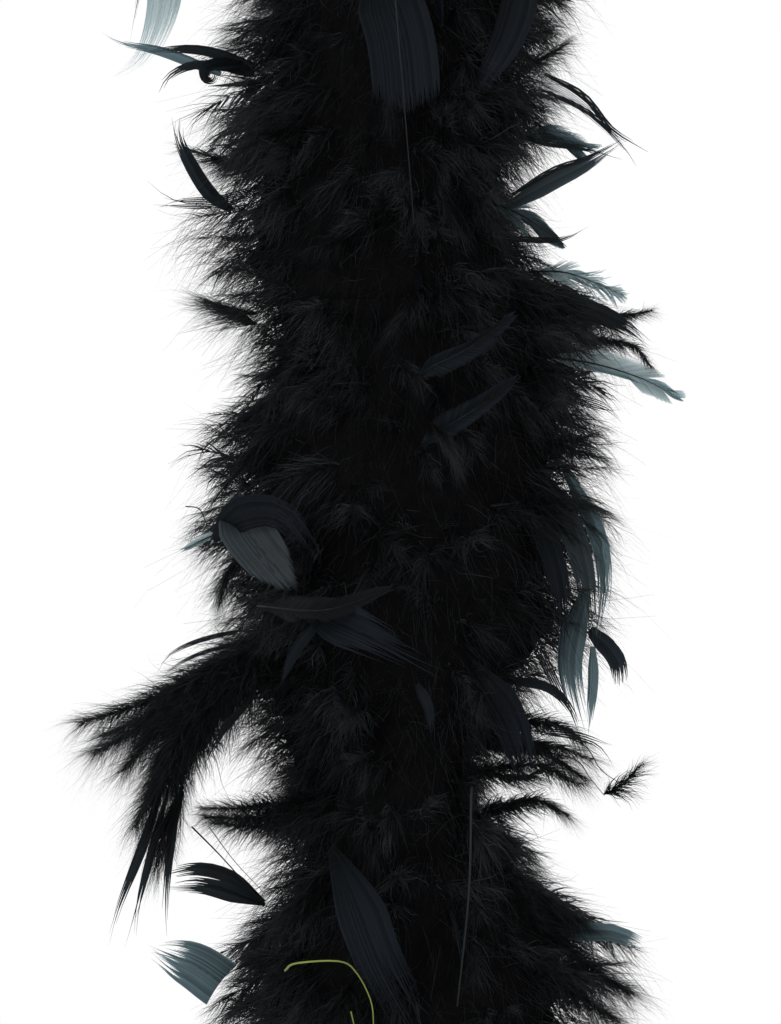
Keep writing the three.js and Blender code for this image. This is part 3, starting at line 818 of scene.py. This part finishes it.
# Soft plumes that stand out: name, barb length, lean of the barbs, lock strength and path in mm.
# Those whose barbs lean out more than WISPY_ANGLE also carry short ones close to the spine.
WISPY_ANGLE = 45
SEEN_PLUMES = [
    ("left_wisp_a", 24, 26, 0.3, [(-52, -6, 67), (-60, -10, 70), (-70, -10, 75)]),
    ("left_wisp_b", 18, 34, 0.3, [(-52, -10, 71), (-60, -14, 72), (-68, -12, 74)]),
    ("left_wisp_c", 14, 40, 0.6, [(-56, -8, 122), (-66, -10, 126), (-78, -10, 130)]),
    ("right_top_tuft", 15, 40, 0.3, [(38, -6, 156), (50, -8, 163), (58, -8, 168)]),
    ("right_tuft_a", 10, 60, 0.5, [(60, -14, 68), (78, -18, 70), (88, -16, 72)]),
    ("right_tuft_b", 9, 60, 0.3, [(60, -12, 62), (80, -16, 60), (88, -14, 52)]),
    ("right_tuft_c", 14, 40, 0.5, [(48, -10, 26), (60, -12, 26), (68, -10, 28)]),
    ("right_tuft_d", 14, 40, 0.5, [(48, -12, 6), (62, -14, 4), (72, -12, 0)]),
    ("left_grey_tuft", 14, 40, 0.3, [(-50, -24, -12), (-62, -30, -20), (-66, -30, -32)]),
    ("long_plume_a", 22, 64, 0.4, [(-46, -18, -46), (-72, -26, -58), (-96, -26, -69), (-116, -22, -75)]),
    ("long_plume_b", 24, 64, 0.4, [(-46, -12, -54), (-74, -18, -66), (-94, -20, -77), (-111, -16, -86)]),
    ("long_plume_h", 24, 56, 0.3, [(-48, -14, -48), (-72, -20, -62), (-92, -22, -73), (-108, -18, -80)]),
    ("long_plume_i", 24, 56, 0.3, [(-56, -16, -60), (-74, -22, -72), (-86, -24, -86), (-92, -20, -102)]),
    ("long_plume_f", 24, 60, 0.3, [(-50, -20, -50), (-74, -24, -66), (-90, -26, -80), (-100, -24, -92)]),
    ("long_plume_g", 20, 60, 0.3, [(-70, -20, -76), (-80, -24, -88), (-90, -26, -100), (-96, -24, -112)]),
    ("long_plume_c", 22, 70, 0.4, [(-50, -22, -54), (-76, -28, -74), (-86, -28, -94), (-92, -24, -116)]),
    ("long_plume_d", 16, 70, 0.5, [(-60, -14, -62), (-76, -20, -82), (-82, -20, -102), (-84, -16, -120)]),
    ("long_plume_e", 22, 60, 0.3, [(-44, -14, -44), (-62, -20, -52), (-80, -22, -64), (-96, -18, -84)]),
    ("long_plume_hairs", 22, 20, 0.7, [(-78, -24, -98), (-84, -26, -110), (-88, -24, -124)]),
    ("left_bar_plume", 16, 80, 0.2, [(-30, -18, -101), (-54, -22, -105), (-73, -20, -106)]),
    ("left_bar_middle", 15, 60, 0.3, [(-26, -17, -105), (-52, -21, -109), (-71, -20, -109)]),
    ("left_bar_under", 16, 80, 0.2, [(-30, -16, -110), (-52, -20, -112), (-69, -18, -111)]),
    ("right_blob_plume", 17, 56, 0.4, [(16, -18, -76), (46, -26, -84), (64, -24, -95)]),
    ("right_blob_under", 15, 60, 0.3, [(14, -16, -96), (44, -24, -90), (62, -22, -97)]),
    ("right_blob_wisp", 19, 40, 0.5, [(20, -18, -84), (50, -24, -83), (66, -22, -88)]),
    ("right_soft_tip", 13, 40, 0.3, [(70, -22, -101), (77, -26, -97), (84, -24, -90)]),
    ("right_wisp", 15, 56, 0.5, [(26, -14, -108), (46, -20, -103), (58, -20, -108)]),
    ("right_wisp_b", 16, 50, 0.5, [(34, -14, -74), (54, -20, -76), (63, -20, -82)]),
    ("right_wisp_c", 15, 44, 0.5, [(30, -16, -94), (44, -20, -94), (54, -20, -88)]),
    ("low_right_plume_a", 20, 60, 0.3, [(36, -10, -128), (56, -16, -142), (70, -14, -150)]),
    ("low_right_plume_b", 20, 60, 0.3, [(36, -12, -140), (60, -18, -158), (80, -16, -172)]),
    ("low_right_plume_c", 20, 60, 0.3, [(34, -14, -150), (56, -20, -168), (76, -18, -182)]),
    ("left_gap_plume", 12, 60, 0.3, [(-44, -20, -60), (-60, -24, -62), (-70, -24, -74)]),
    ("barb_fan", 16, 24, 0.6, [(8, -72, 32), (14, -78, 25), (17, -76, 18)]),
]

SEEN_QUILLS = [
    ("long_front_quill", "quill", 0.3, [(-4, -74, 184), (-1, -79, 148), (3, -74, 100)]),
    ("blue_quill", "quill", 0.5, [(23, -66, -96), (22, -76, -132), (18, -74, -172)]),
    ("green_quill_a", "green", 0.42,
     [(-42, -68, -160), (-38, -74, -157), (-23, -78, -156),
      (-17, -78, -160), (-12, -76, -170), (-11, -72, -180)]),
    ("green_quill_b", "green", 0.3, [(-19, -70, -174), (-16, -70, -187)]),
    ("left_filament", "quill", 0.25, [(-78, -30, 2), (-73, -30, 1), (-70, -30, -5), (-66, -26, -9)]),
    ("crossing_quill_a", "quill", 0.35, [(-76, -24, -112), (-65, -26, -123), (-52, -22, -138)]),
    ("crossing_quill_b", "quill", 0.2, [(-70, -22, -112), (-61, -24, -124), (-50, -22, -136)]),
    ("right_quill_a", "quill", 0.25, [(40, -16, -77), (62, -20, -82), (70, -24, -92), (79, -26, -98)]),
    ("right_quill_b", "quill", 0.25, [(42, -20, -84), (60, -22, -88), (66, -23, -95), (71, -22, -101)]),
]

# CAD feathers that a placed feather stands for; every other one gets a feather where it lies.
STANDS_FOR = {
    "right_fan_a": "vane_feather_06",
    "left_wisp_a": "vane_feather_07",
    "broad_right_vane": "vane_feather_08",
    "front_leaf_a": "vane_feather_09",
    "ragged_vane": "vane_feather_10",
    "broad_low_vane": "vane_feather_11",
    "long_plume_a": "long_plume",
}


def finish_placed(strands, name, path, slot, spans):
    piece = span_at(spans, path[0][2]).attach(strands.build(name), slot)
    if name in STANDS_FOR:
        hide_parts(STANDS_FOR[name])


def seen_feathers(spans):
    rng = np.random.default_rng([SEED, 1000])
    for name, look, width, points, more in SEEN_VANES:
        strands = Strands()
        path = placed(points)
        add_vane(strands, path, FRONT, width * MM, rng, LOOKS[look], spacing=0.5 * MM, **more)
        finish_placed(strands, name, path, "vane", spans)
    for name, look, width, points, more in SEEN_STRAPS:
        strands = Strands()
        path = placed(points)
        add_strap(strands, path, FRONT, width * MM, rng, LOOKS[look], **more)
        finish_placed(strands, name, path, "vane", spans)
    for name, barb, angle, lock, points in SEEN_PLUMES:
        strands = Strands()
        path = placed(points)
        add_plume(strands, path, rng, barb * MM, 0.11 * MM, 0.34 * MM, start=0.05, angle=angle,
                  lock=lock)
        if angle > WISPY_ANGLE:
            add_plume(strands, path, rng, barb * 0.5 * MM, 0.13 * MM, 0.6 * MM, start=0.0,
                      angle=angle * 1.2, lock=0.0)
        finish_placed(strands, name, path, "down", spans)
    for name, look, radius, points in SEEN_QUILLS:
        strands = Strands()
        path = placed(points)
        strands.tube(path, np.linspace(radius, radius * 0.5, len(path)) * MM, LOOKS[look], sides=6)
        finish_placed(strands, name, path, "vane", spans)


def feather_at(node, body, rng):
    """A vane feather that stands where a CAD feather does, on the same body."""
    low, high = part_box(node)
    middle = (low + high) / 2
    angle = math.atan2(middle.y, middle.x)
    reach = math.hypot(max(-low.x, high.x), max(-low.y, high.y)) * 0.97
    width = (high.z - low.z) * 0.75
    path = bezier(around(BINDING_RADIUS, angle, middle.z - 4 * MM),
                  around(reach * 0.6, angle, middle.z + 10 * MM),
                  around(reach, angle, middle.z - 6 * MM), 24)
    facing = unit(around(0.4, angle + math.pi / 2, 0.0) + (0, 0, rng.uniform(-0.4, 0.4)))
    strands = Strands()
    add_vane(strands, path, facing, width, rng, LOOKS[rng.choice(["slate", "clear"])],
             blunt=rng.uniform(0.2, 0.8), splits=0.06, start=0.3, twist=rng.normal(0, 0.6))
    piece = strands.build(node.replace("vane_feather", "standing_vane"))
    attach(piece, body)
    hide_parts(node)


def cad_feathers():
    rng = np.random.default_rng([SEED, 2000])
    bodies = frame["record"]["behaviour"]["bodies"]
    for body, nodes in bodies.items():
        for node in nodes:
            if node.startswith("vane_feather") and node not in STANDS_FOR.values():
                feather_at(node, body, rng)


# ---------------------------------------------------------------- cord, thread and end fittings

def plied(path, radius, pitch):
    """Paths of the two plies of a cord twisted along a path."""
    _, _, length = along(path, [0, 1])
    steps = max(8, int(length / pitch * 8))
    points, tangents, _ = along(path, np.linspace(0, 1, steps))
    level = unit(np.cross(tangents, (0.2, 1.0, 0.1)))
    upright = np.cross(tangents, level)
    turn = np.linspace(0, 2 * np.pi * length / pitch, steps)[:, None]
    offset = (level * np.cos(turn) + upright * np.sin(turn)) * radius / 2
    return points + offset, points - offset


def wound(radius, top, foot, pitch, steps_per_turn=12):
    """The path of a thread wound round the strand."""
    turns = (top - foot) / pitch
    t = np.linspace(0, 1, int(turns * steps_per_turn) + 2)
    return around(radius, 2 * np.pi * turns * t, top + (foot - top) * t)


def cord_of_span(span):
    top = CORD_TOP - LOOP_ROOM if span.index == 0 else span.top
    foot = CORD_FOOT + LOOP_ROOM if span.index == SECTIONS else span.foot
    strands = Strands()
    for ply in plied(np.array([(0, 0, top), (0, 0, (top + foot) / 2), (0, 0, foot)]),
                     CORD_RADIUS, 9 * MM):
        strands.tube(ply, CORD_RADIUS * 0.52, CORD, sides=8)
    piece = span.attach(strands.build(span.name("cord")), "cord")
    span.stands_for(piece, "core_cord")


def binding_of_span(span):
    """The thread that binds the quills to the cord, and the quills' ends under it."""
    thread = 0.35 * MM
    strands = Strands()
    strands.tube(wound(BINDING_RADIUS - thread, span.top, span.foot, 2.4 * MM), thread, THREAD, sides=5)
    radius = (CORD_RADIUS + BINDING_RADIUS) / 2
    for z in np.arange(span.foot, span.top - 10 * MM, 5 * MM):
        angle = span.rng.uniform(0, 2 * np.pi)
        strands.tube(around(np.full(3, radius), angle, z + np.array([0, 6, 12]) * MM),
                     0.5 * MM, QUILL, sides=5)
    piece = span.attach(strands.build(span.name("binding")), "thread")
    span.stands_for(piece, "quill_binding")


def loop_piece(name, node, body):
    """A twisted thread loop, where the CAD loop is."""
    low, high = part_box(node)
    thickness = (high.y - low.y) / 2
    centre = (low + high) / 2
    wide = (high.x - low.x) / 2 - thickness
    tall = (high.z - low.z) / 2 - thickness
    turn = np.linspace(-0.5 * np.pi, 1.5 * np.pi, 61)
    path = np.stack([centre.x + wide * np.cos(turn), np.zeros_like(turn),
                     centre.z + tall * np.sin(turn)], axis=-1)
    strands = Strands()
    for ply in plied(path, thickness, 6 * MM):
        strands.tube(ply, thickness * 0.52, THREAD, sides=8)
    finish_fitting(strands, name, node, body)


def wound_piece(name, node, slot, body, thread, layers):
    """A knot or a whipping: cord or thread wound in layers where the CAD piece is."""
    top, foot = height_range(node)
    radius = box_radius(node)
    strands = Strands()
    for layer in range(layers):
        crown = radius - thread * (1 + 1.7 * (layers - 1 - layer))
        inset = thread * (1 + layer * 1.5)
        path = wound(crown, top - inset, foot + inset, thread * 2.05, 20)
        strands.tube(path, thread, CORD if slot == "cord" else THREAD, sides=8)
    finish_fitting(strands, name, node, body)


def finish_fitting(strands, name, node, body):
    piece = strands.build(name)
    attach(piece, body)
    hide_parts(node)


def end_fittings():
    last = f"section_{SECTIONS:02d}"
    loop_piece("upper_thread_loop", "top_loop", "hanging_loop")
    wound_piece("upper_knot", "top_knot", "cord", "section_01", 1.6 * MM, 2)
    wound_piece("upper_whipping", "top_whipping", "thread", "section_01", 0.5 * MM, 2)
    wound_piece("lower_whipping", "bottom_whipping", "thread", last, 0.5 * MM, 2)
    wound_piece("lower_knot", "bottom_knot", "cord", last, 1.6 * MM, 2)
    loop_piece("lower_thread_loop", "bottom_loop", "foot_loop")


# ---------------------------------------------------------------- studio

def make_camera():
    data = bpy.data.cameras.new("camera")
    data.sensor_fit = "VERTICAL"
    data.sensor_height = 36
    data.lens = data.sensor_height * CAMERA_DISTANCE / SEEN_HEIGHT
    camera = bpy.data.objects.new("camera", data)
    camera.location = (CAMERA_SHIFT_X, -CAMERA_DISTANCE, MIDDLE)
    camera.rotation_euler = (math.radians(90), 0, 0)
    bpy.context.scene.collection.objects.link(camera)
    bpy.context.scene.camera = camera


def make_floor():
    mesh = bmesh.new()
    bmesh.ops.create_circle(mesh, cap_ends=True, radius=FLOOR_RADIUS, segments=96)
    floor_mesh = bpy.data.meshes.new("floor")
    mesh.to_mesh(floor_mesh)
    mesh.free()
    floor = bpy.data.objects.new("floor", floor_mesh)
    floor.location = (0, 0, CAD_LOW.z - FLOOR_GAP)
    material = new_material("floor")
    surface = add_node(material, "BsdfPrincipled", {
        "Base Color": (0.82, 0.82, 0.82, 1), "Roughness": 0.9})
    add_node(material, "OutputMaterial", {0: surface.outputs[0]})
    floor_mesh.materials.append(material)
    bpy.context.scene.collection.objects.link(floor)


def make_lights():
    scene = bpy.context.scene
    scene.view_settings.view_transform = "Standard"
    world = bpy.data.worlds.new("studio")
    world.use_nodes = True
    world.node_tree.nodes["Background"].inputs["Color"].default_value = (1, 1, 1, 1)
    world.node_tree.nodes["Background"].inputs["Strength"].default_value = 1.0
    scene.world = world
    lamp = bpy.data.lights.new("softbox", "AREA")
    lamp.size = 1.2
    lamp.energy = 20
    light = bpy.data.objects.new("softbox", lamp)
    light.location = (-1.2, -2.0, MIDDLE + 1.2)
    towards = Vector((0, 0, MIDDLE)) - light.location
    light.rotation_euler = towards.to_track_quat("-Z", "Y").to_euler()
    scene.collection.objects.link(light)


make_camera()
make_floor()
make_lights()
SPANS = make_spans()
for one_span in SPANS:
    cord_of_span(one_span)
    binding_of_span(one_span)
    heart_of_span(one_span)
    down_of_span(one_span)
    loose_barbs_of_span(one_span)
    vanes_of_span(one_span)
seen_feathers(SPANS)
cad_feathers()
end_fittings()
